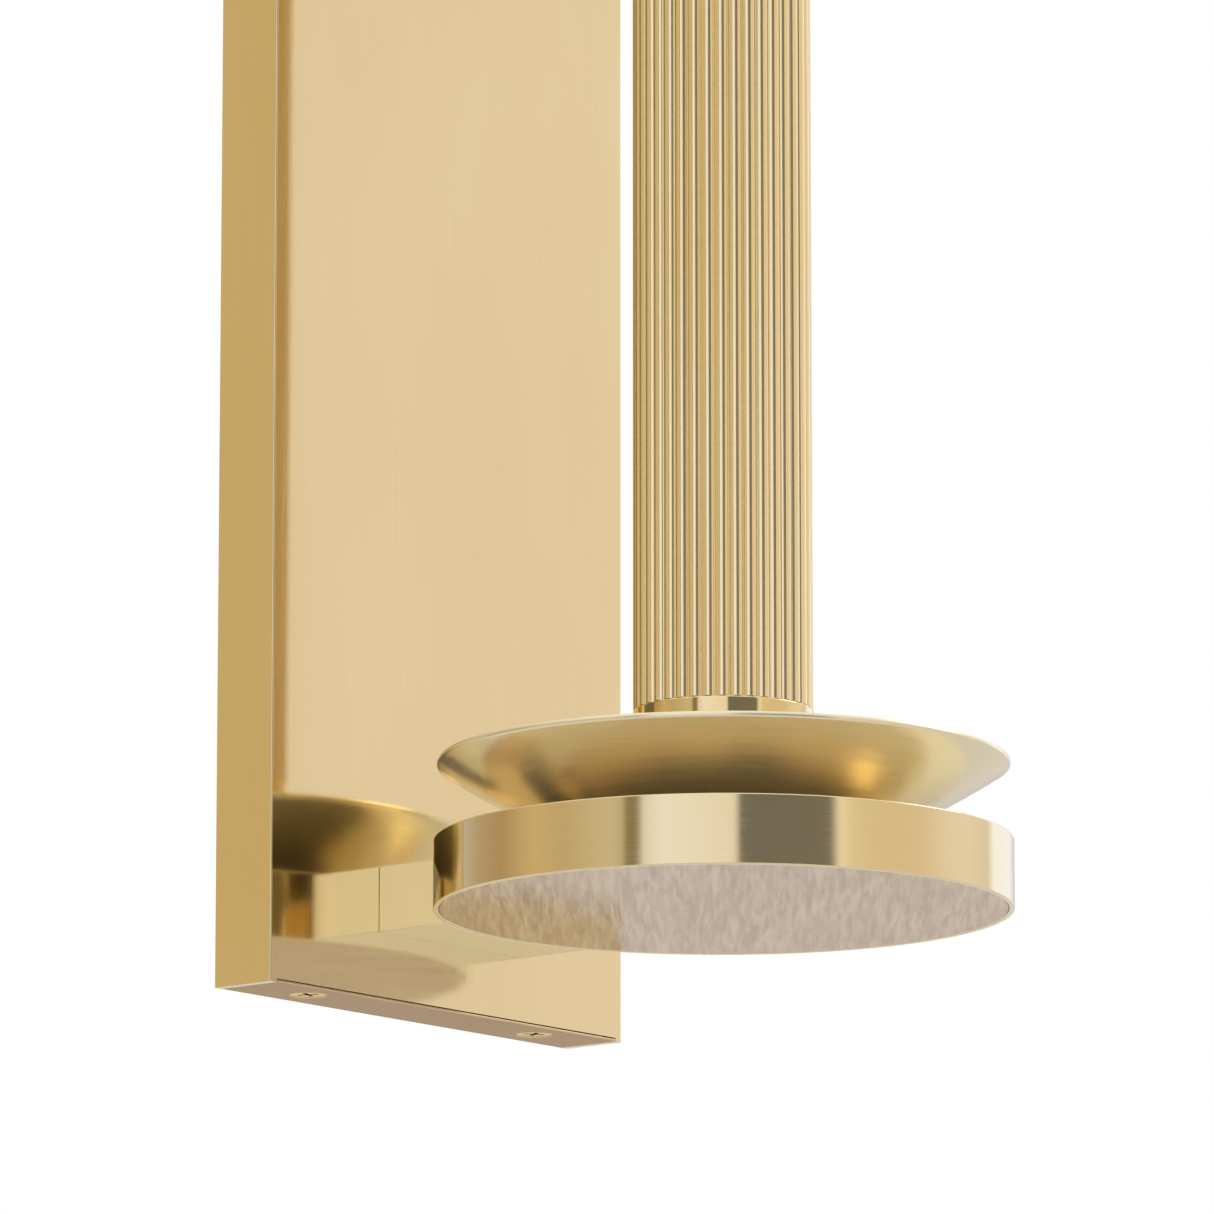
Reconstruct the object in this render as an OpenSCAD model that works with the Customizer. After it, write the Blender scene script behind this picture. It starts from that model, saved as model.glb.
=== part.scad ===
// Wall sconce candle holder in lacquered brass.
// The wall is the plane y = 0 and the front faces -Y. The origin is the middle of the
// wall-screw pattern, at half the height of the back plate.

/* [Back plate] */
// Width of the back plate
plate_w = 115; // [106:1:140]
// Height of the back plate
plate_h = 380; // [340:1:460]
// Depth of the back plate from the wall
plate_d = 15.5; // [15:0.5:20]
// Thickness of the brass plates that the back plate is brazed up from
cover_t = 2; // [1.5:0.1:2.5]
// Height of the end caps' lip in front, over the ends of the front plate
cap_lip = 0.6; // [0.4:0.1:1.2]

/* [Wall bracket] */
// Thickness of the bracket sheet
bracket_t = 2; // [1.5:0.1:2.5]
// Width of the bracket
bracket_w = 96; // [90:1:98]
// Sideways spacing of the wall-screw holes
wall_hole_dx = 60; // [40:1:70]
// Upright spacing of the wall-screw holes
wall_hole_dz = 240; // [200:1:260]
// Diameter of the wall-screw holes
wall_hole_d = 5; // [4:0.1:6]

/* [Base disc] */
// Diameter of the base disc
disc_d = 120; // [100:1:124]
// Thickness of the base disc
disc_h = 14.5; // [13:0.1:18]
// Wall and top thickness of the base disc
disc_t = 2.5; // [2:0.1:3]
// Height of the disc's underside above the bottom of the back plate
disc_drop = 14.3; // [12:0.1:30]
// Distance from the front of the back plate to the column's axis
reach = 73.5; // [72:0.5:100]

/* [Arm] */
// Width of the arm
arm_w = 47; // [40:1:60]
// Height of the arm
arm_h = 14; // [12:0.1:14]

/* [Drip dish] */
// Diameter of the dish's rim
dish_d = 119; // [100:1:120]
// Height of the top of the dish's rim above the base disc
dish_h = 17; // [12:0.1:20]
// Sheet thickness of the dish
dish_t = 1.2; // [0.8:0.1:1.6]

/* [Column] */
// Diameter over the reeds
column_d = 37.5; // [36:0.5:40]
// Number of reeds round the column
reeds = 38; // [24:1:48]
// Half angle of each reed's arc: 90 is a half round, less is flatter
reed_arc = 62; // [50:1:88]
// Length of the reeded column
column_h = 190; // [150:1:240]
// Diameter of the column's bore
column_bore = 30; // [26:0.5:31]
// Height of the lower collar above the base disc
collar_top = 27.4; // [22:0.1:34]
// Height of the upper collar
upper_collar_h = 9; // [6:0.5:14]

/* [Candle] */
// Diameter of the candle
candle_d = 22; // [19:0.5:24]
// Length of the candle
candle_h = 130; // [60:1:180]
// Depth of the candle socket
socket_depth = 24; // [18:1:30]
// Diameter of the loose drip pan
bobeche_d = 72; // [60:1:90]

/* [Hidden] */
$fn = 96;
eps = 0.01;

brass = "#c9a65a";
polished = "#d6b469";
steel = "#9aa0a6";
felt = "#4c4a44";
wax = "#f1ead8";
underside_tone = "#cdbeb0";

// Heights above the bottom of the back plate
plate_z = -plate_h / 2;
disc_z = plate_z + disc_drop;
disc_top = disc_z + disc_h;
column_z = disc_top + collar_top;
column_top = column_z + column_h;
cup_z = column_top + upper_collar_h;
axis_y = -plate_d - reach;
front_y = -plate_d;
inner_w = plate_w - 2 * cover_t;
disc_r = disc_d / 2;

// Screws that hold the end caps on the bracket: countersunk, cross recess
cover_screw_d = 4;
cover_screw_head_d = 8.6;
cover_screw_head_h = 2.3;
cover_screw_l = 8;
cover_screw_dx = 74;
cover_screw_y = -plate_d / 2;
bracket_flange = plate_d - cover_t - 1;
bracket_z = plate_z + cover_t;

// Screws that hold the arm on the back plate
arm_screw_d = 5;
arm_hole_d = 5.4;
arm_screw_dx = 30;
arm_screw_depth = 9;
arm_screw_z = disc_z + arm_h / 2;
backing_t = 3;
backing_w = 84;
backing_h = 34;
backing_z = bracket_z + bracket_t + 1;
backing_y = front_y + cover_t;
washer_t = 1;

// Screws that hold the disc on the arm
disc_screw_d = 4;
disc_hole_d = 4.4;
disc_screw_dx = 13;
disc_screw_depth = 7;
screw_end_gap = 1;
pad_w = 26;
pad_t = 6;
pad_y = axis_y + disc_r - disc_t - pad_t;

// Tie rod, M8
rod_d = 8;
rod_hole_d = 8.4;
nut_af = 13;
nut_h = 6.5;
clamp_washer_d = 24;
clamp_washer_t = 1.6;
rod_end_gap = 0.6;
rod_in_cup = 9;

underside_t = 1.5;
underside_lip = 1.2;
seat_d = 56;
seat_t = 0.8;
dish_foot_r = 30;
plug_h = 12;
collar_d = column_d;

// Candle cup and loose drip pan
socket_d = candle_d + 0.8;
cup_r = socket_d / 2 + 2.4;
cup_base = 12;
cup_h = cup_base + socket_depth;
cup_foot_r = column_d / 2 - 1;
cup_foot_h = 1.6;
cup_shelf = 8;
cup_chamfer = 0.8;
bobeche_t = 1.2;
bobeche_h = 9.5;
bobeche_foot = 4;
bobeche_gap = 0.35;
rest_gap = 0.05;
candle_z = cup_z + cup_base + rest_gap;
candle_shoulder = 2;
wick_d = 1.6;
wick_root = 5;
wick_h = 9;

module at_axis() {
    translate([0, axis_y, 0]) children();
}

// Ring or washer with its lower face at z = 0
module ring(outer_d, bore_d, height) {
    difference() {
        cylinder(d = outer_d, h = height);
        translate([0, 0, -eps]) cylinder(d = bore_d, h = height + 2 * eps);
    }
}

// Pan-head screw along +Y: head behind y = 0, shank in front of it
module pan_screw(shank_d, length) {
    head_d = 2 * shank_d;
    head_h = 0.65 * shank_d;
    rotate([-90, 0, 0]) difference() {
        union() {
            cylinder(d = shank_d, h = length);
            translate([0, 0, -head_h]) cylinder(d = head_d, h = head_h);
        }
        translate([0, 0, -head_h - eps]) cross_recess(shank_d, head_h * 0.6);
    }
}

// Cross recess cut into a head, opening at z = 0
module cross_recess(shank_d, depth) {
    arm_l = 1.15 * shank_d;
    arm_t = 0.24 * shank_d;
    for (turn = [0, 90])
        rotate([0, 0, turn]) translate([-arm_l / 2, -arm_t / 2, 0]) cube([arm_l, arm_t, depth]);
}

// Countersunk screw with its flat head at z = 0 and its shank along +Z
module countersunk_screw() {
    difference() {
        union() {
            cylinder(d1 = cover_screw_head_d, d2 = cover_screw_d, h = cover_screw_head_h);
            cylinder(d = cover_screw_d, h = cover_screw_l);
        }
        translate([0, 0, -eps]) cross_recess(cover_screw_d, 0.6 * cover_screw_head_h);
    }
}

// Space that a countersunk screw fills in what it passes through
module countersunk_bore(depth) {
    translate([0, 0, -eps]) cylinder(d = cover_screw_d, h = depth + 2 * eps);
    cylinder(d1 = cover_screw_head_d, d2 = cover_screw_d, h = cover_screw_head_h);
}

// Puts its children at each cover screw; the top pair is the bottom pair mirrored
module at_cover_screws() {
    for (end = [0, 1], side = [-1, 1])
        mirror([0, 0, end])
            translate([side * cover_screw_dx / 2, cover_screw_y, plate_z]) children();
}

module at_arm_screws() {
    for (side = [-1, 1]) translate([side * arm_screw_dx / 2, 0, arm_screw_z]) children();
}

module at_disc_screws() {
    for (side = [-1, 1]) translate([side * disc_screw_dx / 2, 0, arm_screw_z]) children();
}

// Hole along Y from y0 to y1
module hole_y(hole_d, y0, y1) {
    translate([0, y1, 0]) rotate([90, 0, 0]) cylinder(d = hole_d, h = y1 - y0);
}

module wall_bracket() {
    height = plate_h - 2 * cover_t;
    color(steel) difference() {
        union() {
            translate([-bracket_w / 2, -bracket_t, bracket_z])
                cube([bracket_w, bracket_t, height]);
            for (end = [0, 1]) mirror([0, 0, end])
                translate([-bracket_w / 2, -bracket_flange, bracket_z])
                    cube([bracket_w, bracket_flange, bracket_t]);
        }
        for (sx = [-1, 1], sz = [-1, 1])
            translate([sx * wall_hole_dx / 2, 0, sz * wall_hole_dz / 2])
                hole_y(wall_hole_d, -bracket_t - eps, eps);
        at_cover_screws() countersunk_bore(cover_t + bracket_t);
    }
}

// Front of the back plate: it stands between the side strips and the caps' lips
module front_plate() {
    color(brass) difference() {
        translate([-inner_w / 2, front_y, plate_z + cap_lip])
            cube([inner_w, cover_t, plate_h - 2 * cap_lip]);
        at_arm_screws() hole_y(arm_hole_d, front_y - eps, backing_y + eps);
    }
}

module side_strips() {
    color(brass) for (side = [0, 1]) mirror([side, 0, 0])
        translate([inner_w / 2, front_y, plate_z]) cube([cover_t, plate_d, plate_h]);
}

// Bottom and top of the back plate, screwed to the bracket's flanges
module end_caps() {
    color(brass) difference() {
        for (end = [0, 1]) mirror([0, 0, end]) translate([-inner_w / 2, 0, plate_z]) {
            translate([0, backing_y, 0]) cube([inner_w, plate_d - cover_t, cover_t]);
            translate([0, front_y, 0]) cube([inner_w, cover_t + eps, cap_lip]);
        }
        at_cover_screws() countersunk_bore(cover_t);
    }
}

module cover_screws() {
    color(polished) at_cover_screws() countersunk_screw();
}

module arm_backing_plate() {
    color(steel) difference() {
        translate([-backing_w / 2, backing_y, backing_z]) cube([backing_w, backing_t, backing_h]);
        at_arm_screws() hole_y(arm_hole_d, backing_y - eps, backing_y + backing_t + eps);
    }
}

module arm_screws() {
    length = arm_screw_depth + cover_t + backing_t + washer_t;
    color(steel) at_arm_screws()
        translate([0, backing_y + backing_t + washer_t, 0])
            mirror([0, 1, 0]) pan_screw(arm_screw_d, length);
}

module arm_washers() {
    color(steel) at_arm_screws()
        translate([0, backing_y + backing_t, 0])
            rotate([-90, 0, 0]) ring(2.1 * arm_screw_d, arm_hole_d, washer_t);
}

module arm() {
    color(brass) difference() {
        translate([-arm_w / 2, axis_y, disc_z]) cube([arm_w, reach, arm_h]);
        at_axis() translate([0, 0, disc_z - eps]) cylinder(r = disc_r, h = disc_h + 2 * eps, $fn = 180);
        at_arm_screws() hole_y(arm_screw_d, front_y - arm_screw_depth, front_y + eps);
        at_disc_screws() hole_y(disc_screw_d, axis_y, axis_y + disc_r + disc_screw_depth);
    }
}

module base_disc() {
    color(brass) difference() {
        union() {
            at_axis() translate([0, 0, disc_z]) difference() {
                cylinder(r = disc_r, h = disc_h, $fn = 180);
                translate([0, 0, -eps])
                    cylinder(r = disc_r - disc_t, h = disc_h - disc_t + eps, $fn = 180);
            }
            intersection() {
                translate([-pad_w / 2, pad_y, disc_z + underside_t])
                    cube([pad_w, disc_r, disc_h - underside_t - eps]);
                at_axis() translate([0, 0, disc_z])
                    cylinder(r = disc_r - disc_t / 2, h = disc_h, $fn = 180);
            }
        }
        at_axis() translate([0, 0, disc_z - eps])
            cylinder(r = disc_r - underside_lip, h = underside_t + eps, $fn = 180);
        at_axis() translate([0, 0, disc_top - disc_t - eps])
            cylinder(d = rod_hole_d, h = disc_t + 2 * eps);
        at_disc_screws() hole_y(disc_hole_d, pad_y - eps, axis_y + disc_r + eps);
    }
}

module disc_screws() {
    length = axis_y + disc_r - pad_y + disc_screw_depth + washer_t - screw_end_gap;
    color(steel) at_disc_screws()
        translate([0, pad_y - washer_t, 0]) pan_screw(disc_screw_d, length);
}

module disc_washers() {
    color(steel) at_disc_screws()
        translate([0, pad_y - washer_t, 0])
            rotate([-90, 0, 0]) ring(2.2 * disc_screw_d, disc_hole_d, washer_t);
}

module underside_plate() {
    color(underside_tone) at_axis() translate([0, 0, disc_z])
        cylinder(r = disc_r - underside_lip, h = underside_t, $fn = 180);
}

module clamp_washer() {
    color(steel) at_axis() translate([0, 0, disc_top - disc_t - clamp_washer_t])
        ring(clamp_washer_d, rod_hole_d, clamp_washer_t);
}

module hex_nut() {
    difference() {
        cylinder(d = nut_af / cos(30), h = nut_h, $fn = 6);
        translate([0, 0, -eps]) cylinder(d = rod_d, h = nut_h + 2 * eps);
    }
}

module clamp_nut() {
    color(steel) at_axis()
        translate([0, 0, disc_top - disc_t - clamp_washer_t - nut_h]) hex_nut();
}

module tie_rod() {
    bottom = disc_z + underside_t + rod_end_gap;
    color(steel) at_axis() translate([0, 0, bottom])
        cylinder(d = rod_d, h = cup_z + rod_in_cup - bottom);
}

module dish_seat() {
    color(felt) at_axis() translate([0, 0, disc_top]) ring(seat_d, rod_hole_d, seat_t);
}

// Half section of a flared pan from its foot out to its rim; the wall bows out a little
function pan_wall(foot_r, rim_r, height, bow, steps) =
    [for (i = [0 : steps]) let (u = i / steps)
        [foot_r + (rim_r - foot_r) * u + bow * sin(180 * u), height * u - bow * sin(180 * u)]];

module flared_pan(bore_d, foot_r, rim_r, height, sheet, bow) {
    outside = pan_wall(foot_r, rim_r, height - sheet, bow, 8);
    inside = [for (i = [len(outside) - 1 : -1 : 0])
        [outside[i][0] - sheet * 0.35, outside[i][1] + sheet]];
    rotate_extrude($fn = 180)
        polygon(concat([[bore_d / 2, 0]], outside, inside, [[bore_d / 2, sheet]]));
}

module drip_dish() {
    foot_z = disc_top + seat_t;
    color(brass) at_axis() translate([0, 0, foot_z])
        flared_pan(rod_hole_d, dish_foot_r, dish_d / 2, dish_h - seat_t, dish_t, 0.7);
}

module lower_collar() {
    foot_z = disc_top + seat_t + dish_t;
    color(polished) at_axis() translate([0, 0, foot_z])
        ring(collar_d, column_bore, column_z - foot_z);
}

// Bush that centres the column and its collar on the rod
module lower_plug() {
    color(steel) at_axis() translate([0, 0, column_z - plug_h / 2])
        ring(column_bore, rod_hole_d, plug_h);
}

module reeded_column() {
    pitch_r = column_d / 2 - reed_r();
    color(brass) at_axis() translate([0, 0, column_z]) difference() {
        linear_extrude(column_h) union() {
            circle(r = pitch_r, $fn = 180);
            for (i = [0 : reeds - 1])
                rotate(360 * (i + 0.5) / reeds) translate([pitch_r, 0]) circle(r = reed_r(), $fn = 24);
        }
        translate([0, 0, -eps]) cylinder(d = column_bore, h = column_h + 2 * eps);
    }
}

// Reeds meet in valleys: the valleys' radius and then the reeds' own follow from the count
function valley_r() = column_d / 2 / (cos(180 / reeds) + sin(180 / reeds) * tan(reed_arc / 2));
function reed_r() = valley_r() * sin(180 / reeds) / sin(reed_arc);

module upper_plug() {
    color(steel) at_axis() translate([0, 0, column_top - plug_h])
        ring(column_bore, rod_hole_d, plug_h);
}

module column_nut() {
    color(steel) at_axis() translate([0, 0, column_top]) hex_nut();
}

module upper_collar() {
    color(polished) at_axis() translate([0, 0, column_top])
        ring(collar_d, column_bore, upper_collar_h);
}

module candle_cup() {
    color(brass) at_axis() translate([0, 0, cup_z]) difference() {
        rotate_extrude($fn = 128) polygon([
            [0, 0], [cup_foot_r, 0], [cup_foot_r, cup_foot_h], [cup_r, cup_shelf],
            [cup_r, cup_h - cup_chamfer], [cup_r - cup_chamfer, cup_h], [0, cup_h]]);
        translate([0, 0, cup_base]) cylinder(d = socket_d, h = socket_depth + eps);
        translate([0, 0, -eps]) cylinder(d = rod_d, h = rod_in_cup + eps);
    }
}

module bobeche() {
    bore_r = cup_r + bobeche_gap;
    color(brass) at_axis() translate([0, 0, cup_z + cup_shelf + rest_gap])
        flared_pan(2 * bore_r, bore_r + bobeche_foot, bobeche_d / 2, bobeche_h, bobeche_t, 0.4);
}

module candle() {
    color(wax) at_axis() translate([0, 0, candle_z]) difference() {
        rotate_extrude($fn = 96) polygon([
            [0, 0], [candle_d / 2, 0], [candle_d / 2, candle_h - candle_shoulder],
            [candle_d / 2 - 0.3 * candle_shoulder, candle_h - 0.3 * candle_shoulder],
            [candle_d / 2 - candle_shoulder, candle_h], [0, candle_h]]);
        translate([0, 0, candle_h - wick_root]) cylinder(d = wick_d, h = wick_root + eps);
    }
}

module wick() {
    color(felt) at_axis() translate([0, 0, candle_z + candle_h - wick_root])
        cylinder(d = wick_d, h = wick_root + wick_h, $fn = 24);
}

wall_bracket();
front_plate();
side_strips();
end_caps();
cover_screws();
arm_backing_plate();
arm_screws();
arm_washers();
arm();
base_disc();
disc_screws();
disc_washers();
underside_plate();
clamp_washer();
clamp_nut();
tie_rod();
dish_seat();
drip_dish();
lower_collar();
lower_plug();
reeded_column();
upper_plug();
column_nut();
upper_collar();
candle_cup();
bobeche();
candle();
wick();
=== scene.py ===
import math
import bpy
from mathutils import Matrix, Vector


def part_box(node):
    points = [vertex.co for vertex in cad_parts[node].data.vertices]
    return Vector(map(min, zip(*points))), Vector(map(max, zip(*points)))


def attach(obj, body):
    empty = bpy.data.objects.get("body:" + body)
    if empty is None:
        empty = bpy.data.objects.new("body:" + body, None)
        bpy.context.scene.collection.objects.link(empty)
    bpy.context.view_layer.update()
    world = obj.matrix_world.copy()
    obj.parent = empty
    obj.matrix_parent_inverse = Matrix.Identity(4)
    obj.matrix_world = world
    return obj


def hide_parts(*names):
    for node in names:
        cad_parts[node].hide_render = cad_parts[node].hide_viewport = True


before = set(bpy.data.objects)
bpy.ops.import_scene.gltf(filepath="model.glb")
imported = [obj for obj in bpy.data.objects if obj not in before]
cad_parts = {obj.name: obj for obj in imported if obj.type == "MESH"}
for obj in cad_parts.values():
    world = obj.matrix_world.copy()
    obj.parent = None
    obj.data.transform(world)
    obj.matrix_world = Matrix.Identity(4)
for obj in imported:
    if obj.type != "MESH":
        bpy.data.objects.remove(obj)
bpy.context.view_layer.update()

# Wall sconce in lacquered brass. The wall is y = 0, the front faces -Y, +Z is up.
# Metres all through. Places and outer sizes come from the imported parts, the rest from
# the dictionary beside each piece.

mm = 0.001
nearly = 0.01 * mm  # two heights this close are the same
discLow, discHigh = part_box("base_disc")
discRadius = (discHigh.y - discLow.y) / 2
rodLow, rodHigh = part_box("tie_rod")
axisX = (discLow.x + discHigh.x) / 2
axisY = (rodLow.y + rodHigh.y) / 2
roundSteps = 192


def clearSelection():
    if bpy.context.mode != "OBJECT":
        bpy.ops.object.mode_set(mode="OBJECT")
    bpy.ops.object.select_all(action="DESELECT")


def pick(piece):
    clearSelection()
    piece.select_set(True)
    bpy.context.view_layer.objects.active = piece


def nameNew(name):
    piece = bpy.context.object
    piece.name = name
    piece.data.name = name
    return piece


def bakeModifier(piece, kind, **settings):
    pick(piece)
    modifier = piece.modifiers.new(kind.lower(), kind)
    for key, value in settings.items():
        setattr(modifier, key, value)
    bpy.ops.object.modifier_apply(modifier=modifier.name)


def smoothBy(piece, degrees):
    pick(piece)
    bpy.ops.object.shade_smooth_by_angle(angle=math.radians(degrees))
    bakeModifier(piece, "WEIGHTED_NORMAL", mode="FACE_AREA", weight=100, keep_sharp=True)


def settle(piece):
    pick(piece)
    bpy.ops.object.transform_apply(location=True, rotation=True, scale=True)


def softenEdges(piece, width, segments=3, degrees=35):
    bakeModifier(piece, "BEVEL", width=width, segments=segments, limit_method="ANGLE",
                 angle_limit=math.radians(degrees), harden_normals=False, profile=0.5)


def boxFrom(name, low, high):
    clearSelection()
    middle = [(a + b) / 2 for a, b in zip(low, high)]
    bpy.ops.mesh.primitive_cube_add(size=1, location=middle)
    piece = nameNew(name)
    piece.scale = [b - a for a, b in zip(low, high)]
    settle(piece)
    return piece


def cutWith(piece, cutters, operation="DIFFERENCE"):
    for cutter in cutters:
        bakeModifier(piece, "BOOLEAN", object=cutter, operation=operation, solver="EXACT")
        bpy.data.objects.remove(cutter)


def rodAlong(name, axis, place, radius, length, vertices=48, tip=None):
    clearSelection()
    turns = {"y": (-math.pi / 2, 0, 0), "z": (0, 0, 0)}
    if tip is None:
        bpy.ops.mesh.primitive_cylinder_add(vertices=vertices, radius=radius, depth=length,
                                            location=place, rotation=turns[axis])
    else:
        bpy.ops.mesh.primitive_cone_add(vertices=vertices, radius1=radius, radius2=tip, depth=length,
                                        location=place, rotation=turns[axis])
    piece = nameNew(name)
    settle(piece)
    return piece


def startPoint(name, place):
    # a plane merged to a single point, left in edit mode to be extruded or spun
    clearSelection()
    bpy.ops.mesh.primitive_plane_add(size=mm, location=(0, 0, 0))
    piece = nameNew(name)
    bpy.ops.object.mode_set(mode="EDIT")
    bpy.ops.mesh.select_mode(type="VERT")
    bpy.ops.mesh.select_all(action="SELECT")
    bpy.ops.mesh.merge(type="CENTER")
    bpy.ops.transform.translate(value=place)
    return piece


def turnPiece(name, corners, fillet=0.0, steps=roundSteps, closed=True, segments=3):
    # a wire section is drawn corner by corner, its corners are rounded, and it is spun
    radius, height = corners[0]
    piece = startPoint(name, (axisX + radius, axisY, height))
    for i in range(1, len(corners)):
        step = (corners[i][0] - corners[i - 1][0], 0, corners[i][1] - corners[i - 1][1])
        bpy.ops.mesh.extrude_region_move(TRANSFORM_OT_translate={"value": step})
    if closed:
        bpy.ops.mesh.select_all(action="DESELECT")
        bpy.ops.object.mode_set(mode="OBJECT")
        piece.data.vertices[0].select = True
        piece.data.vertices[len(corners) - 1].select = True
        bpy.ops.object.mode_set(mode="EDIT")
        bpy.ops.mesh.edge_face_add()
    if fillet:
        bpy.ops.mesh.select_all(action="DESELECT")
        bpy.ops.object.mode_set(mode="OBJECT")
        for vertex in piece.data.vertices:
            vertex.select = vertex.co.x > axisX + fillet
        bpy.ops.object.mode_set(mode="EDIT")
        bpy.ops.mesh.bevel(offset=fillet, segments=segments, affect="VERTICES", clamp_overlap=True)
    bpy.ops.mesh.select_all(action="SELECT")
    bpy.ops.mesh.spin(steps=steps, angle=2 * math.pi, center=(axisX, axisY, 0), axis=(0, 0, 1))
    bpy.ops.mesh.select_all(action="SELECT")
    bpy.ops.mesh.remove_doubles(threshold=mm / 500)
    bpy.ops.mesh.normals_make_consistent(inside=False)
    bpy.ops.object.mode_set(mode="OBJECT")
    return piece


def handOver(piece, material, body, slotName, *nodes):
    piece.data.materials.clear()
    piece.data.materials.append(material)
    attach(piece, body)
    if nodes:
        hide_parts(*nodes)


def newMaterial(name):
    material = bpy.data.materials.new(name)
    material.use_nodes = True
    tree = material.node_tree
    return material, tree, tree.nodes["Principled BSDF"]


def stretchedNoise(tree, scale, detail=3.0, distortion=0.0, turn=(0.0, 0.0, 0.0)):
    # scale is waves per metre along each axis, and the pattern is turned after it is stretched
    place = tree.nodes.new("ShaderNodeTexCoord")
    mapping = tree.nodes.new("ShaderNodeMapping")
    noise = tree.nodes.new("ShaderNodeTexNoise")
    mapping.vector_type = "TEXTURE"
    mapping.inputs["Scale"].default_value = [1 / s for s in scale]
    mapping.inputs["Rotation"].default_value = turn
    noise.inputs["Scale"].default_value = 1.0
    noise.inputs["Detail"].default_value = detail
    noise.inputs["Distortion"].default_value = distortion
    tree.links.new(place.outputs["Object"], mapping.inputs["Vector"])
    tree.links.new(mapping.outputs["Vector"], noise.inputs["Vector"])
    return noise


def spread(tree, source, low, high, fromLow=0.3, fromHigh=0.7):
    ranger = tree.nodes.new("ShaderNodeMapRange")
    ranger.inputs["From Min"].default_value = fromLow
    ranger.inputs["From Max"].default_value = fromHigh
    ranger.inputs["To Min"].default_value = low
    ranger.inputs["To Max"].default_value = high
    tree.links.new(source, ranger.inputs["Value"])
    return ranger.outputs["Result"]


def blendValues(tree, first, second, share):
    mix = tree.nodes.new("ShaderNodeMix")
    mix.inputs["Factor"].default_value = share
    tree.links.new(first, mix.inputs["A"])
    tree.links.new(second, mix.inputs["B"])
    return mix.outputs["Result"]


def tintBetween(tree, factor, dark, light):
    ramp = tree.nodes.new("ShaderNodeValToRGB")
    ramp.color_ramp.elements[0].position = 0.35
    ramp.color_ramp.elements[0].color = (*dark, 1)
    ramp.color_ramp.elements[1].position = 0.65
    ramp.color_ramp.elements[1].color = (*light, 1)
    tree.links.new(factor, ramp.inputs["Fac"])
    return ramp.outputs["Color"]


def addBump(tree, shader, height, strength, distance):
    bump = tree.nodes.new("ShaderNodeBump")
    bump.inputs["Strength"].default_value = strength
    bump.inputs["Distance"].default_value = distance
    tree.links.new(height, bump.inputs["Height"])
    tree.links.new(bump.outputs["Normal"], shader.inputs["Normal"])


brassLook = {
    "tint": (0.89, 0.77, 0.51),
    "shade": (0.855, 0.725, 0.455),
    "coat": 0.25,
    "coatRoughness": 0.06,
    "patches": (22, 22, 14),
    "linesShare": 0.35,
    "grainDeep": 0.05 * mm,
    "hairs": (700, 700, 28),
    "hairsTurn": (0.0, 0.10, 0.0),
    "hairsFrom": 0.70,
    "hairsTo": 0.74,
}


def brassFinish(name, grain, roughness, swing, bump=0.02, anisotropy=0.0, turn=0.0, scratches=0.0,
                shade=brassLook["shade"], tint=brassLook["tint"], metallic=1.0, rim=None,
                coat=brassLook["coat"]):
    material, tree, shader = newMaterial(name)
    shader.inputs["Metallic"].default_value = metallic
    patches = stretchedNoise(tree, brassLook["patches"], detail=2.0)
    lines = stretchedNoise(tree, grain, detail=4.0)
    mixed = blendValues(tree, patches.outputs["Fac"], lines.outputs["Fac"], brassLook["linesShare"])
    tree.links.new(tintBetween(tree, mixed, shade, tint), shader.inputs["Base Color"])
    if rim:
        shader.inputs["Specular Tint"].default_value = (*rim, 1)
    tree.links.new(spread(tree, lines.outputs["Fac"], roughness - swing, roughness + swing),
                   shader.inputs["Roughness"])
    shader.inputs["Anisotropic"].default_value = anisotropy
    shader.inputs["Anisotropic Rotation"].default_value = turn
    shader.inputs["Coat Weight"].default_value = coat
    shader.inputs["Coat Roughness"].default_value = brassLook["coatRoughness"]
    height = lines.outputs["Fac"]
    if scratches:
        hairs = stretchedNoise(tree, brassLook["hairs"], detail=1.0, turn=brassLook["hairsTurn"])
        cuts = spread(tree, hairs.outputs["Fac"], 1, 0, brassLook["hairsFrom"], brassLook["hairsTo"])
        height = blendValues(tree, height, cuts, scratches)
    addBump(tree, shader, height, bump, brassLook["grainDeep"])
    return material


brushedBrass = brassFinish("brushed brass", (2200, 2200, 20), 0.10, 0.03, bump=0.10, scratches=0.3)
turnedBrass = brassFinish("turned brass", (60, 60, 3200), 0.10, 0.03, bump=0.05, anisotropy=0.3, turn=0.25)
# painted light: a paler copy of the same brass, lightened for the dish and pan
litSpunBrass = brassFinish(
    "spun brass with painted light", (120, 120, 1500), 0.21, 0.04, bump=0.04, anisotropy=0.3, turn=0.25,
    shade=(0.89, 0.80, 0.57), tint=(0.92, 0.84, 0.62), metallic=0.78)
# painted light: a paler copy of the plate's brushed brass, lightened for the arm
litArmBrass = brassFinish(
    "arm brass with painted light", (2600, 2600, 24), 0.10, 0.025, bump=0.07,
    shade=(0.92, 0.85, 0.64), tint=(0.95, 0.89, 0.70), metallic=0.90)
# painted shade: a darker copy of the plate's brass, darker rim too, so the end caps read shaded
shadedCapBrass = brassFinish(
    "end cap brass with painted shade", (60, 1600, 1600), 0.16, 0.04, bump=0.06,
    shade=(0.66, 0.53, 0.35), tint=(0.74, 0.61, 0.42), rim=(0.66, 0.55, 0.45), coat=0.0)
polishedBrass = brassFinish(
    "polished brass", (90, 90, 1500), 0.05, 0.02, bump=0.02,
    shade=(0.87, 0.70, 0.37), tint=(0.90, 0.74, 0.42))
# painted light: a paler, yellower copy of the same brass, lightened for the reeds
litReedBrass = brassFinish(
    "reeded brass with painted light", (1500, 1500, 700), 0.14, 0.03, bump=0.03,
    shade=(0.95, 0.79, 0.48), tint=(0.98, 0.84, 0.55), metallic=0.95)
screwBrass = brassFinish(
    "screw brass", (900, 900, 900), 0.20, 0.06, bump=0.05,
    shade=(0.86, 0.71, 0.40), tint=(0.93, 0.79, 0.49), rim=(0.98, 0.88, 0.66), coat=0.1)


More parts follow.
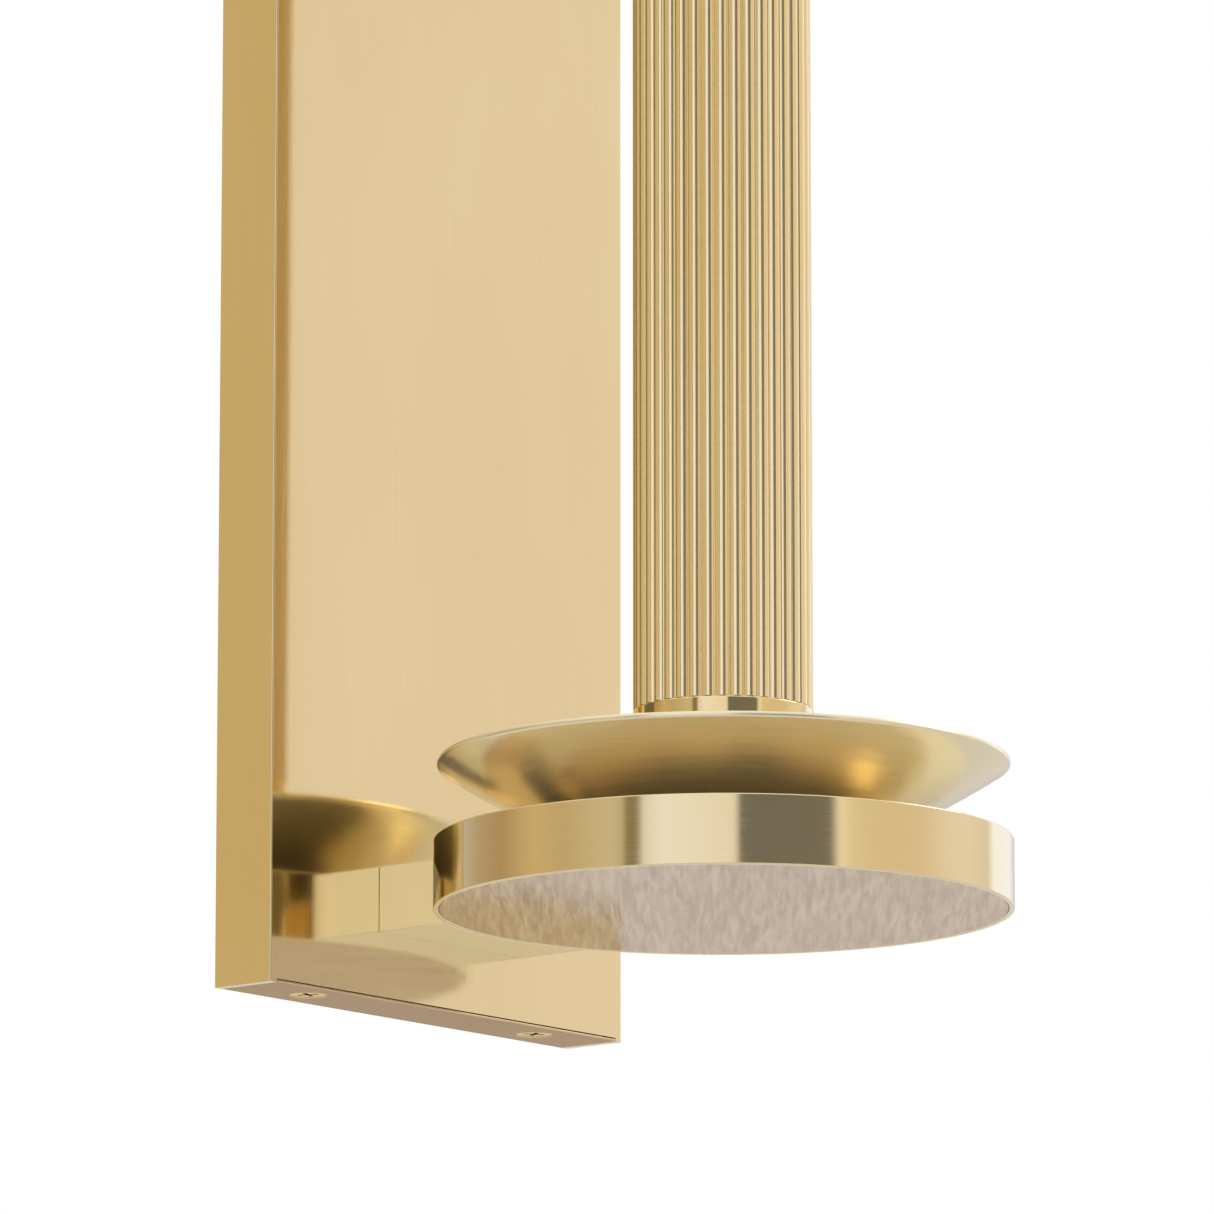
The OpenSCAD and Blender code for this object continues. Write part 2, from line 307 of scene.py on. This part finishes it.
def paleUndersideFinish():
    material, tree, shader = newMaterial("wrinkled brass with painted wall reflection")
    shader.inputs["Metallic"].default_value = 1.0
    # painted reflection: the pale wrinkled colour stands for a textured wall seen in the brass underside
    wrinklesAndReflection = stretchedNoise(tree, (820, 48, 48), detail=7.0, distortion=0.45, turn=(0.0, 0.0, -0.90))
    tree.links.new(tintBetween(tree, wrinklesAndReflection.outputs["Fac"], (0.66, 0.57, 0.49), (1.00, 0.92, 0.82)),
                   shader.inputs["Base Color"])
    shader.inputs["Specular Tint"].default_value = (0.80, 0.74, 0.69, 1)
    tree.links.new(spread(tree, wrinklesAndReflection.outputs["Fac"], 0.10, 0.20), shader.inputs["Roughness"])
    addBump(tree, shader, wrinklesAndReflection.outputs["Fac"], 0.5, 0.3 * mm)
    return material


def zincFinish():
    material, tree, shader = newMaterial("zinc plated steel")
    shader.inputs["Metallic"].default_value = 1.0
    patches = stretchedNoise(tree, (120, 120, 120), detail=6.0, distortion=0.6)
    tree.links.new(tintBetween(tree, patches.outputs["Fac"], (0.48, 0.50, 0.53), (0.66, 0.67, 0.69)),
                   shader.inputs["Base Color"])
    grain = stretchedNoise(tree, (900, 900, 900), detail=3.0)
    tree.links.new(spread(tree, grain.outputs["Fac"], 0.28, 0.46), shader.inputs["Roughness"])
    addBump(tree, shader, grain.outputs["Fac"], 0.08, 0.05 * mm)
    return material


def feltFinish():
    material, tree, shader = newMaterial("pressed felt")
    fibres = stretchedNoise(tree, (1800, 1800, 1800), detail=6.0, distortion=1.5)
    tree.links.new(tintBetween(tree, fibres.outputs["Fac"], (0.035, 0.034, 0.03), (0.10, 0.095, 0.085)),
                   shader.inputs["Base Color"])
    shader.inputs["Roughness"].default_value = 0.95
    shader.inputs["Sheen Weight"].default_value = 0.4
    addBump(tree, shader, fibres.outputs["Fac"], 0.5, 0.15 * mm)
    return material


def waxFinish():
    material, tree, shader = newMaterial("ivory wax")
    clouds = stretchedNoise(tree, (45, 45, 22), detail=4.0, distortion=0.8)
    tree.links.new(tintBetween(tree, clouds.outputs["Fac"], (0.84, 0.78, 0.64), (0.90, 0.85, 0.73)),
                   shader.inputs["Base Color"])
    shader.inputs["Subsurface Weight"].default_value = 0.6
    shader.inputs["Subsurface Radius"].default_value = (1.0, 0.7, 0.4)
    shader.inputs["Subsurface Scale"].default_value = 3 * mm
    smears = stretchedNoise(tree, (160, 160, 40), detail=3.0)
    tree.links.new(spread(tree, smears.outputs["Fac"], 0.30, 0.46), shader.inputs["Roughness"])
    addBump(tree, shader, smears.outputs["Fac"], 0.12, 0.2 * mm)
    return material


def cottonFinish():
    material, tree, shader = newMaterial("cotton wick")
    fibres = stretchedNoise(tree, (2500, 2500, 900), detail=4.0)
    tree.links.new(tintBetween(tree, fibres.outputs["Fac"], (0.60, 0.57, 0.50), (0.82, 0.79, 0.72)),
                   shader.inputs["Base Color"])
    shader.inputs["Roughness"].default_value = 0.9
    addBump(tree, shader, fibres.outputs["Fac"], 0.4, 0.1 * mm)
    return material


paleUnderside = paleUndersideFinish()
zincSteel = zincFinish()
feltGrey = feltFinish()
ivoryWax = waxFinish()
cottonWick = cottonFinish()
print("finishes ready")


plateLook = {
    "sheet": 2 * mm,
    "frontRound": 0.4 * mm,
    "rollWide": 6 * mm,
    "rollDeep": 0.25 * mm,
    "edge": 0.22 * mm,
    "capLip": 0.45 * mm,
    "seam": 0.3 * mm,
    "capPlay": 0.06 * mm,
    "capEdge": 0.12 * mm,
    "armHole": 2.7 * mm,
    "armScrewHead": 5 * mm,
    "drillLong": 6 * mm,
}
screwLook = {
    "head": 8.6 * mm,
    "shank": 4 * mm,
    "headHeight": 2.3 * mm,
    "length": 8 * mm,
    "recessLong": 4.6 * mm,
    "recessWide": 0.95 * mm,
    "recessDeep": 1.4 * mm,
    "sink": 0.2 * mm,
    "play": 0.28 * mm,
    "edge": 0.12 * mm,
    # degrees that each cross recess stands turned
    "firstTurn": 20,
    "nextTurn": 37,
}
screwLow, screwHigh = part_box("cover_screws")
screwRadius = screwLook["head"] / 2
screwPlaces = [(x, (screwLow.y + screwHigh.y) / 2, z, up)
               for z, up in ((screwLow.z, 1), (screwHigh.z, -1))
               for x in (screwLow.x + screwRadius, screwHigh.x - screwRadius)]


def selectEdges(piece, wanted):
    bpy.ops.object.mode_set(mode="EDIT")
    bpy.ops.mesh.select_all(action="DESELECT")
    bpy.ops.mesh.select_mode(type="EDGE")
    bpy.ops.object.mode_set(mode="OBJECT")
    for edge in piece.data.edges:
        edge.select = wanted(*[piece.data.vertices[v].co for v in edge.vertices])
    bpy.ops.object.mode_set(mode="EDIT")


def addPlateShell():
    low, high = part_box("side_strips")
    sheet, roll = plateLook["sheet"], plateLook["rollWide"]
    shell = boxFrom("back_plate_shell", low, high)

    def longFrontEdges(slack):
        return lambda a, b: max(a.y, b.y) < low.y + mm and min(abs(a.x), abs(b.x)) > high.x - slack

    # polishing has rolled the front off a little towards both of its long edges
    bpy.ops.object.mode_set(mode="EDIT")
    for x in (low.x + roll, high.x - roll):
        bpy.ops.mesh.select_all(action="SELECT")
        bpy.ops.mesh.bisect(plane_co=(x, 0, 0), plane_no=(1, 0, 0))
    selectEdges(shell, longFrontEdges(mm))
    bpy.ops.transform.translate(value=(0, plateLook["rollDeep"], 0))
    bpy.ops.object.mode_set(mode="OBJECT")
    cutters = [boxFrom("hollow", (low.x + sheet, low.y + sheet, low.z - mm),
                       (high.x - sheet, mm, high.z + mm))]
    gap = plateLook["capLip"] + plateLook["seam"]
    for z0, z1 in ((low.z - mm, low.z + gap), (high.z - gap, high.z + mm)):
        cutters.append(boxFrom("cap room", (low.x + sheet, low.y - mm, z0), (high.x - sheet, mm, z1)))
    cutWith(shell, cutters)
    pick(shell)
    selectEdges(shell, longFrontEdges(0.1 * mm))
    bpy.ops.mesh.bevel(offset=plateLook["frontRound"], segments=5, affect="EDGES")
    bpy.ops.object.mode_set(mode="OBJECT")
    softenEdges(shell, plateLook["edge"], segments=2, degrees=50)
    armScrewLow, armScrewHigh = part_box("arm_screws")
    holeZ = (armScrewLow.z + armScrewHigh.z) / 2
    inset = plateLook["armScrewHead"]
    cutWith(shell, [rodAlong("arm hole", "y", (x, low.y, holeZ), plateLook["armHole"], plateLook["drillLong"])
                    for x in (armScrewLow.x + inset, armScrewHigh.x - inset)])
    smoothBy(shell, 30)
    handOver(shell, brushedBrass, "sconce", "brushed_brass", "front_plate", "side_strips")


def addEndCaps():
    low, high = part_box("end_caps")
    sheet, play = plateLook["sheet"], plateLook["capPlay"]
    for name, end, up in (("end_cap_bottom", low.z, 1), ("end_cap_top", high.z, -1)):
        heights = sorted((end, end + up * sheet))
        cap = boxFrom(name, (low.x + play, low.y, heights[0]), (high.x - play, high.y, heights[1]))
        lipTop = end + up * plateLook["capLip"]
        step = sorted((lipTop, end + up * 2 * sheet))
        cutWith(cap, [boxFrom("step", (low.x, low.y - mm, step[0]),
                              (high.x, low.y + sheet + play, step[1]))])
        softenEdges(cap, plateLook["capEdge"], segments=2, degrees=50)
        tip, deep = screwLook["shank"] / 2, screwLook["headHeight"]
        sinks = []
        for x, y, z, facing in screwPlaces:
            if facing == up:
                wide, narrow = (screwRadius, tip) if up > 0 else (tip, screwRadius)
                middle = (x, y, z + up * deep / 2)
                sinks.append(rodAlong("countersink", "z", middle, wide, deep, tip=narrow))
        cutWith(cap, sinks)
        smoothBy(cap, 30)
        handOver(cap, shadedCapBrass, "sconce", "brushed_brass")
    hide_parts("end_caps")


def addCoverScrews():
    small = screwLook["shank"] / 2
    big = screwRadius - screwLook["play"]
    for i, (x, y, end, up) in enumerate(screwPlaces):
        face = end + up * screwLook["sink"]
        deep = screwLook["headHeight"] - screwLook["sink"]
        wide, narrow = (big, small) if up > 0 else (small, big)
        screw = rodAlong("cover_screw_%d" % (i + 1), "z", (x, y, face + up * deep / 2), wide, deep,
                         tip=narrow, vertices=64)
        long = screwLook["length"] - screwLook["sink"] - screwLook["play"]
        shank = rodAlong("shank", "z", (x, y, face + up * long / 2), small, long, vertices=32)
        cutWith(screw, [shank], "UNION")
        cross = []
        for quarter in (0, math.pi / 2):
            half = (screwLook["recessLong"] / 2, screwLook["recessWide"] / 2, screwLook["recessDeep"])
            bar = boxFrom("recess", [-v for v in half], half)
            turn = math.radians(screwLook["firstTurn"] + screwLook["nextTurn"] * i)
            bar.rotation_euler = (0, 0, turn + quarter)
            bar.location = (x, y, face)
            settle(bar)
            cross.append(bar)
        cutWith(screw, cross)
        softenEdges(screw, screwLook["edge"], segments=2, degrees=40)
        smoothBy(screw, 35)
        handOver(screw, screwBrass, "sconce", "screw_brass")
    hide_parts("cover_screws")


addPlateShell()
addEndCaps()
addCoverScrews()
print("back plate ready")


armLook = {"edge": 0.25 * mm}


def addArm():
    low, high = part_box("arm")
    bar = boxFrom("arm_bar", (low.x, axisY, low.z), (high.x, high.y, high.z))
    disc = rodAlong("disc side", "z", (axisX, axisY, (low.z + high.z) / 2), discRadius,
                    3 * (high.z - low.z), vertices=roundSteps)
    cutWith(bar, [disc])
    softenEdges(bar, armLook["edge"])
    smoothBy(bar, 30)
    handOver(bar, litArmBrass, "sconce", "brushed_brass", "arm")


addArm()


discLook = {
    "sheet": 2.5 * mm,
    "edge": 0.35 * mm,
    "rebate": 1.5 * mm,
    "lip": 1.2 * mm,
    "rodHole": 4.2 * mm,
    "plateGap": 0.05 * mm,
    "plateLift": 0.1 * mm,
    "plateEdge": 0.2 * mm,
}


def addBaseDisc():
    bore, inner, rebate = discLook["rodHole"], discRadius - discLook["sheet"], discRadius - discLook["lip"]
    bottom, top = discLow.z, discHigh.z
    ledge, under = bottom + discLook["rebate"], top - discLook["sheet"]
    shell = turnPiece("base_disc_shell", [
        (bore, under), (inner, under), (inner, ledge), (rebate, ledge), (rebate, bottom),
        (discRadius, bottom), (discRadius, top), (bore, top)], fillet=discLook["edge"])
    smoothBy(shell, 35)
    handOver(shell, turnedBrass, "sconce", "turned_brass", "base_disc")
    plateLow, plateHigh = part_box("underside_plate")
    plateRadius = (plateHigh.y - plateLow.y) / 2 - discLook["plateGap"]
    face = plateLow.z + discLook["plateLift"]
    plate = turnPiece("underside_disc", [
        (0, face), (plateRadius, face), (plateRadius, plateHigh.z), (0, plateHigh.z)],
        fillet=discLook["plateEdge"], closed=False)
    smoothBy(plate, 35)
    handOver(plate, paleUnderside, "sconce", "pale_underside", "underside_plate")


addBaseDisc()
print("arm and disc ready")


dishLook = {"sheet": 1.2 * mm, "bore": 4.2 * mm, "foot": 30 * mm, "bow": 0.7 * mm,
            "rimRound": 0.45 * mm, "parts": 8}
panLook = {"sheet": 1.2 * mm, "bore": 14.15 * mm, "foot": 18.15 * mm, "bow": 0.4 * mm,
           "rimRound": 0.45 * mm, "parts": 8}


def addFlaredPan(name, node, look, body):
    low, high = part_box(node)
    rim = (high.y - low.y) / 2
    sheet = look["sheet"]
    rise = high.z - low.z - sheet
    outside = []
    for i in range(look["parts"] + 1):
        u = i / look["parts"]
        bulge = look["bow"] * math.sin(math.pi * u)
        outside.append((look["foot"] + (rim - look["foot"]) * u + bulge, low.z + rise * u - bulge))
    inset = 0.35 * sheet  # the wall leans outwards, so its inside steps in by less than the sheet
    inside = [(r - inset, z + sheet) for r, z in reversed(outside)]
    corners = [(look["bore"], low.z)] + outside + inside + [(look["bore"], low.z + sheet)]
    shell = turnPiece(name, corners, fillet=look["rimRound"])
    smoothBy(shell, 30)
    handOver(shell, litSpunBrass, body, "spun_brass", node)


addFlaredPan("drip_dish_shell", "drip_dish", dishLook, "sconce")
addFlaredPan("drip_pan_shell", "bobeche", panLook, "drip_pan")
print("dish and pan ready")


collarLook = {"bore": 15 * mm, "edge": 0.4 * mm}


def addCollar(name, node):
    low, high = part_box(node)
    radius, bore = (high.y - low.y) / 2, collarLook["bore"]
    ring = turnPiece(name, [(bore, low.z), (radius, low.z), (radius, high.z), (bore, high.z)],
                     fillet=collarLook["edge"])
    smoothBy(ring, 35)
    handOver(ring, polishedBrass, "sconce", "polished_brass", node)


addCollar("lower_collar_ring", "lower_collar")
addCollar("upper_collar_ring", "upper_collar")


columnLook = {"reeds": 38, "facesPerReed": 12, "reedArc": 63, "bore": 15 * mm, "endRound": 0.12 * mm,
              "weld": 0.02 * mm}


def addColumn():
    low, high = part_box("reeded_column")
    radius = (high.y - low.y) / 2
    count = columnLook["reeds"]
    half = math.pi / count
    arc = math.radians(columnLook["reedArc"])
    valley = radius / (math.cos(half) + math.sin(half) * math.tan(arc / 2))
    reedRadius = valley * math.sin(half) / math.sin(arc)
    pitchRadius = radius - reedRadius
    # one reed is spun from the valley beside it, then copied round the axis
    column = startPoint("reeded_column_tube",
                        (axisX + valley * math.cos(half), axisY - valley * math.sin(half), low.z))
    bpy.ops.mesh.spin(steps=columnLook["facesPerReed"], angle=-2 * arc,
                      center=(axisX + pitchRadius, axisY, 0), axis=(0, 0, 1))
    bpy.ops.mesh.select_all(action="SELECT")
    bpy.ops.mesh.spin(steps=count, dupli=True, angle=2 * math.pi, center=(axisX, axisY, 0), axis=(0, 0, 1))
    bpy.ops.mesh.select_all(action="SELECT")
    bpy.ops.mesh.remove_doubles(threshold=columnLook["weld"])
    tall = high.z - low.z
    bpy.ops.mesh.extrude_region_move(TRANSFORM_OT_translate={"value": (0, 0, tall)})
    bpy.ops.mesh.select_all(action="DESELECT")
    bpy.ops.mesh.primitive_circle_add(vertices=count * columnLook["facesPerReed"],
                                      radius=columnLook["bore"], location=(axisX, axisY, low.z))
    bpy.ops.mesh.extrude_region_move(TRANSFORM_OT_translate={"value": (0, 0, tall)})
    for z in (low.z, high.z):
        bpy.ops.mesh.select_all(action="DESELECT")
        bpy.ops.object.mode_set(mode="OBJECT")
        for edge in column.data.edges:
            edge.select = all(abs(column.data.vertices[v].co.z - z) < nearly for v in edge.vertices)
        bpy.ops.object.mode_set(mode="EDIT")
        bpy.ops.mesh.bridge_edge_loops()
    bpy.ops.mesh.select_all(action="SELECT")
    bpy.ops.mesh.normals_make_consistent(inside=False)
    bpy.ops.mesh.select_all(action="DESELECT")
    bpy.ops.object.mode_set(mode="OBJECT")
    for edge in column.data.edges:
        a, b = [column.data.vertices[v].co for v in edge.vertices]
        outer = min(math.hypot(p.x - axisX, p.y - axisY) for p in (a, b)) > columnLook["bore"] + mm
        atEnd = any(abs(a.z - z) < nearly and abs(b.z - z) < nearly for z in (low.z, high.z))
        edge.select = outer and atEnd
    bpy.ops.object.mode_set(mode="EDIT")
    bpy.ops.mesh.bevel(offset=columnLook["endRound"], segments=2, affect="EDGES", clamp_overlap=True)
    bpy.ops.object.mode_set(mode="OBJECT")
    smoothBy(column, 35)
    handOver(column, litReedBrass, "sconce", "reeded_brass", "reeded_column")


addColumn()
print("column ready")


cupLook = {
    "socket": 11.4 * mm,
    "wall": 2.4 * mm,
    "floor": 12 * mm,
    "shoulder": 8 * mm,
    "footHigh": 1.6 * mm,
    "edge": 0.5 * mm,
    "screwHole": 4 * mm,
    "screwDeep": 9 * mm,
}


def addCandleCup():
    low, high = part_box("candle_cup")
    foot = (high.y - low.y) / 2
    socket, thread = cupLook["socket"], cupLook["screwHole"]
    outer = socket + cupLook["wall"]
    threadTop, floor = low.z + cupLook["screwDeep"], low.z + cupLook["floor"]
    cup = turnPiece("candle_cup_turned", [
        (0, threadTop), (thread, threadTop), (thread, low.z), (foot, low.z),
        (foot, low.z + cupLook["footHigh"]), (outer, low.z + cupLook["shoulder"]),
        (outer, high.z), (socket, high.z), (socket, floor), (0, floor)],
        fillet=cupLook["edge"], closed=False)
    smoothBy(cup, 35)
    handOver(cup, turnedBrass, "sconce", "turned_brass", "candle_cup")


addCandleCup()

candleLook = {"shoulder": 2 * mm, "dimple": 1.4 * mm, "round": 0.8 * mm, "steps": 96}
wickLook = {
    "radius": 0.72 * mm,
    "strands": 3,
    "pointsPerStrand": 8,
    "swell": 0.11,
    "rings": 24,
    "twist": 12,  # degrees from ring to ring
}


def addCandle():
    low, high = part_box("candle")
    radius = (high.y - low.y) / 2
    shoulder, dimple = candleLook["shoulder"], candleLook["dimple"]
    # a plain stick with a rounded shoulder, and a shallow dimple round the wick
    stick = turnPiece("candle_stick", [
        (0, low.z), (radius, low.z), (radius, high.z - shoulder),
        (radius - 0.3 * shoulder, high.z - 0.3 * shoulder), (radius - shoulder, high.z),
        (radius * 0.55, high.z - 0.35 * dimple), (radius * 0.25, high.z - dimple), (0, high.z - dimple)],
        fillet=candleLook["round"], closed=False, steps=candleLook["steps"])
    smoothBy(stick, 60)
    handOver(stick, ivoryWax, "candle", "candle_wax", "candle")


def addWick():
    low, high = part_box("wick")
    count = wickLook["strands"]
    clearSelection()
    bpy.ops.mesh.primitive_circle_add(vertices=wickLook["pointsPerStrand"] * count, radius=wickLook["radius"],
                                      fill_type="NGON", location=(axisX, axisY, low.z))
    wick = nameNew("candle_wick")
    for vertex in wick.data.vertices:
        across = vertex.co
        swell = 1 + wickLook["swell"] * math.cos(count * math.atan2(across.y, across.x))
        across.x, across.y = across.x * swell, across.y * swell
    settle(wick)
    bpy.ops.object.mode_set(mode="EDIT")
    rise = (high.z - low.z) / wickLook["rings"]
    for ring in range(wickLook["rings"]):
        bpy.ops.mesh.select_all(action="DESELECT")
        bpy.ops.object.mode_set(mode="OBJECT")
        top = max(v.co.z for v in wick.data.vertices)
        for face in wick.data.polygons:
            face.select = all(abs(wick.data.vertices[v].co.z - top) < nearly for v in face.vertices)
        bpy.ops.object.mode_set(mode="EDIT")
        bpy.ops.mesh.extrude_region_move(TRANSFORM_OT_translate={"value": (0, 0, rise)})
        bpy.ops.transform.rotate(value=math.radians(-wickLook["twist"]), orient_axis="Z",
                                 center_override=(axisX, axisY, 0))
    bpy.ops.mesh.select_all(action="SELECT")
    bpy.ops.mesh.normals_make_consistent(inside=False)
    bpy.ops.object.mode_set(mode="OBJECT")
    smoothBy(wick, 50)
    handOver(wick, cottonWick, "candle", "wick_cotton", "wick")


addCandle()
addWick()
print("cup and candle ready")


bracketLook = {"sheet": 2 * mm, "edge": 0.4 * mm, "hole": 2.5 * mm, "across": 60 * mm, "upright": 240 * mm,
               "drillLong": 6 * mm}


def addBracket():
    low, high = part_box("wall_bracket")
    sheet = bracketLook["sheet"]
    bracket = boxFrom("wall_bracket_plate", low, high)
    cutWith(bracket, [boxFrom("fold", (low.x - mm, low.y - mm, low.z + sheet),
                              (high.x + mm, high.y - sheet, high.z - sheet))])
    softenEdges(bracket, bracketLook["edge"])
    holes = []
    for x in (-bracketLook["across"] / 2, bracketLook["across"] / 2):
        for z in (-bracketLook["upright"] / 2, bracketLook["upright"] / 2):
            holes.append(rodAlong("wall hole", "y", (x, high.y, z), bracketLook["hole"],
                                  bracketLook["drillLong"]))
    cutWith(bracket, holes)
    smoothBy(bracket, 30)
    handOver(bracket, zincSteel, "sconce", "zinc_steel", "wall_bracket")


addBracket()

carried = {
    zincSteel: ["arm_backing_plate", "arm_screws", "arm_washers", "disc_screws", "disc_washers",
                "clamp_washer", "clamp_nut", "tie_rod", "lower_plug", "upper_plug", "column_nut"],
    feltGrey: ["dish_seat"],
}
for material, nodeNames in carried.items():
    for nodeName in nodeNames:
        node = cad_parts[nodeName]
        node.data.materials.clear()
        node.data.materials.append(material)
print("hidden parts ready")


studio = {
    "floorDrop": 3.8,
    "floorSize": 60.0,
    "floorColour": (0.73, 0.72, 0.70),
    "floorRoughness": 0.9,
    "gain": 1.3,
    # heading in degrees round the sconce from its front, then colour
    "wall": [
        (-180, (0.60, 0.55, 0.52)), (-165, (0.50, 0.40, 0.28)), (-150, (0.46, 0.33, 0.18)),
        (-132, (0.64, 0.51, 0.28)), (-118, (0.58, 0.47, 0.28)), (-98, (0.66, 0.58, 0.43)),
        (-92, (0.62, 0.54, 0.40)), (-90, (0.27, 0.22, 0.13)), (-86, (0.27, 0.22, 0.13)),
        (-83, (0.84, 0.82, 0.84)), (-76, (0.95, 0.95, 1.03)), (-47, (0.91, 0.86, 0.81)),
        (-45, (0.19, 0.185, 0.17)), (-9, (0.20, 0.185, 0.16)), (-5, (0.95, 0.88, 0.72)),
        (0, (0.80, 0.69, 0.51)), (12, (0.75, 0.64, 0.46)), (33, (0.77, 0.65, 0.49)),
        (46, (0.85, 0.76, 0.66)), (60, (0.88, 0.79, 0.70)), (77, (0.79, 0.71, 0.62)),
        (83, (1.05, 1.10, 1.25)), (104, (1.00, 1.04, 1.15)), (112, (0.78, 0.77, 0.80)),
        (122, (0.63, 0.58, 0.60)), (180, (0.60, 0.55, 0.52))],
    # heading, height and half width in degrees, then brightness
    "softboxes": [(60, 40, 15, (3.6, 3.5, 3.2)), (141, 30, 13, (1.6, 1.5, 1.3))],
    "softboxCore": 0.6,
    "above": (1.05, 1.04, 1.02),
    "aboveFrom": 0.45,
    "aboveFull": 0.85,
    "below": (0.62, 0.60, 0.57),
    "belowFrom": -0.35,
    "belowFull": -0.6,
}


def paleFloor():
    clearSelection()
    bpy.ops.mesh.primitive_plane_add(size=studio["floorSize"], location=(0, 0, -studio["floorDrop"]))
    floor = nameNew("floor")
    material, _, shader = newMaterial("pale floor")
    shader.inputs["Base Color"].default_value = (*studio["floorColour"], 1)
    shader.inputs["Roughness"].default_value = studio["floorRoughness"]
    floor.data.materials.append(material)


def dimmed(colour):
    # the background's strength multiplies the gain back in, so the ramp holds no value over 1
    return (*[c / studio["gain"] for c in colour], 1)


def towardColour(tree, colour, toColour, share):
    mix = tree.nodes.new("ShaderNodeMix")
    mix.data_type = "RGBA"
    mix.inputs["B"].default_value = dimmed(toColour)
    tree.links.new(share, mix.inputs["Factor"])
    tree.links.new(colour, mix.inputs["A"])
    return mix.outputs["Result"]


def wallByHeading(tree, parts):
    front = tree.nodes.new("ShaderNodeMath")
    front.operation = "MULTIPLY"
    front.inputs[1].default_value = -1.0
    tree.links.new(parts.outputs["Y"], front.inputs[0])
    heading = tree.nodes.new("ShaderNodeMath")
    heading.operation = "ARCTAN2"
    tree.links.new(parts.outputs["X"], heading.inputs[0])
    tree.links.new(front.outputs[0], heading.inputs[1])
    ramp = tree.nodes.new("ShaderNodeValToRGB")
    stops = ramp.color_ramp.elements
    while len(stops) > 1:
        stops.remove(stops[-1])
    for i, (degrees, colour) in enumerate(studio["wall"]):
        where = (degrees + 180) / 360
        stop = stops[0] if i == 0 else stops.new(where)
        stop.position = where
        stop.color = dimmed(colour)
    tree.links.new(spread(tree, heading.outputs[0], 0, 1, -math.pi, math.pi), ramp.inputs["Fac"])
    return ramp.outputs["Color"]


def addSoftbox(tree, direction, colour, degrees, height, reach, glow):
    aside, rise, reach = math.radians(degrees), math.radians(height), math.radians(reach)
    toward = tree.nodes.new("ShaderNodeVectorMath")
    toward.operation = "DOT_PRODUCT"
    toward.inputs[1].default_value = (math.sin(aside) * math.cos(rise), -math.cos(aside) * math.cos(rise),
                                      math.sin(rise))
    tree.links.new(direction.outputs["Generated"], toward.inputs[0])
    core = studio["softboxCore"] * reach
    share = spread(tree, toward.outputs["Value"], 0, 1, math.cos(reach), math.cos(core))
    return towardColour(tree, colour, glow, share)


def studioWalls():
    world = bpy.data.worlds.new("studio")
    bpy.context.scene.world = world
    world.use_nodes = True
    tree = world.node_tree
    tree.nodes.clear()
    direction = tree.nodes.new("ShaderNodeTexCoord")
    parts = tree.nodes.new("ShaderNodeSeparateXYZ")
    tree.links.new(direction.outputs["Generated"], parts.inputs["Vector"])
    height = parts.outputs["Z"]
    colour = wallByHeading(tree, parts)
    share = spread(tree, height, 0, 1, studio["aboveFrom"], studio["aboveFull"])
    colour = towardColour(tree, colour, studio["above"], share)
    for box in studio["softboxes"]:
        colour = addSoftbox(tree, direction, colour, *box)
    share = spread(tree, height, 0, 1, studio["belowFrom"], studio["belowFull"])
    colour = towardColour(tree, colour, studio["below"], share)
    walls = tree.nodes.new("ShaderNodeBackground")
    walls.inputs["Strength"].default_value = studio["gain"]
    tree.links.new(colour, walls.inputs["Color"])
    # the camera itself sees plain white behind the sconce
    backdrop = tree.nodes.new("ShaderNodeBackground")
    backdrop.inputs["Color"].default_value = (1, 1, 1, 1)
    seen = tree.nodes.new("ShaderNodeLightPath")
    choose = tree.nodes.new("ShaderNodeMixShader")
    output = tree.nodes.new("ShaderNodeOutputWorld")
    tree.links.new(seen.outputs["Is Camera Ray"], choose.inputs["Fac"])
    tree.links.new(walls.outputs[0], choose.inputs[1])
    tree.links.new(backdrop.outputs[0], choose.inputs[2])
    tree.links.new(choose.outputs[0], output.inputs["Surface"])


# The camera stands low on the left and looks up. Its distances are in metres from the middle
# of the disc's underside, its angles in degrees, its lens and sensor in millimetres.
cameraPlace = {
    "heading": 50.9,
    "tilt": 10.95,
    "away": 1.8564,
    "right": -0.02409,
    "up": 0.06270,
    "lens": 266.8863,
    "sensor": 36.0,
    "near": 0.05,
    "far": 100,
}


def addCamera():
    heading, tilt = math.radians(cameraPlace["heading"]), math.radians(cameraPlace["tilt"])
    ahead = (math.sin(heading) * math.cos(tilt), math.cos(heading) * math.cos(tilt), math.sin(tilt))
    right = (math.cos(heading), -math.sin(heading), 0)
    up = (-math.sin(heading) * math.sin(tilt), -math.cos(heading) * math.sin(tilt), math.cos(tilt))
    aim = (axisX, axisY, discLow.z)
    place = [aim[i] - cameraPlace["away"] * ahead[i] + cameraPlace["right"] * right[i]
             + cameraPlace["up"] * up[i] for i in range(3)]
    bpy.ops.object.camera_add(location=place, rotation=(math.pi / 2 + tilt, 0, -heading))
    camera = bpy.context.object
    camera.data.sensor_width = cameraPlace["sensor"]
    camera.data.lens = cameraPlace["lens"]
    camera.data.clip_start = cameraPlace["near"]
    camera.data.clip_end = cameraPlace["far"]
    bpy.context.scene.camera = camera


paleFloor()
studioWalls()
addCamera()
bpy.context.scene.view_settings.view_transform = "Standard"
print("studio ready")
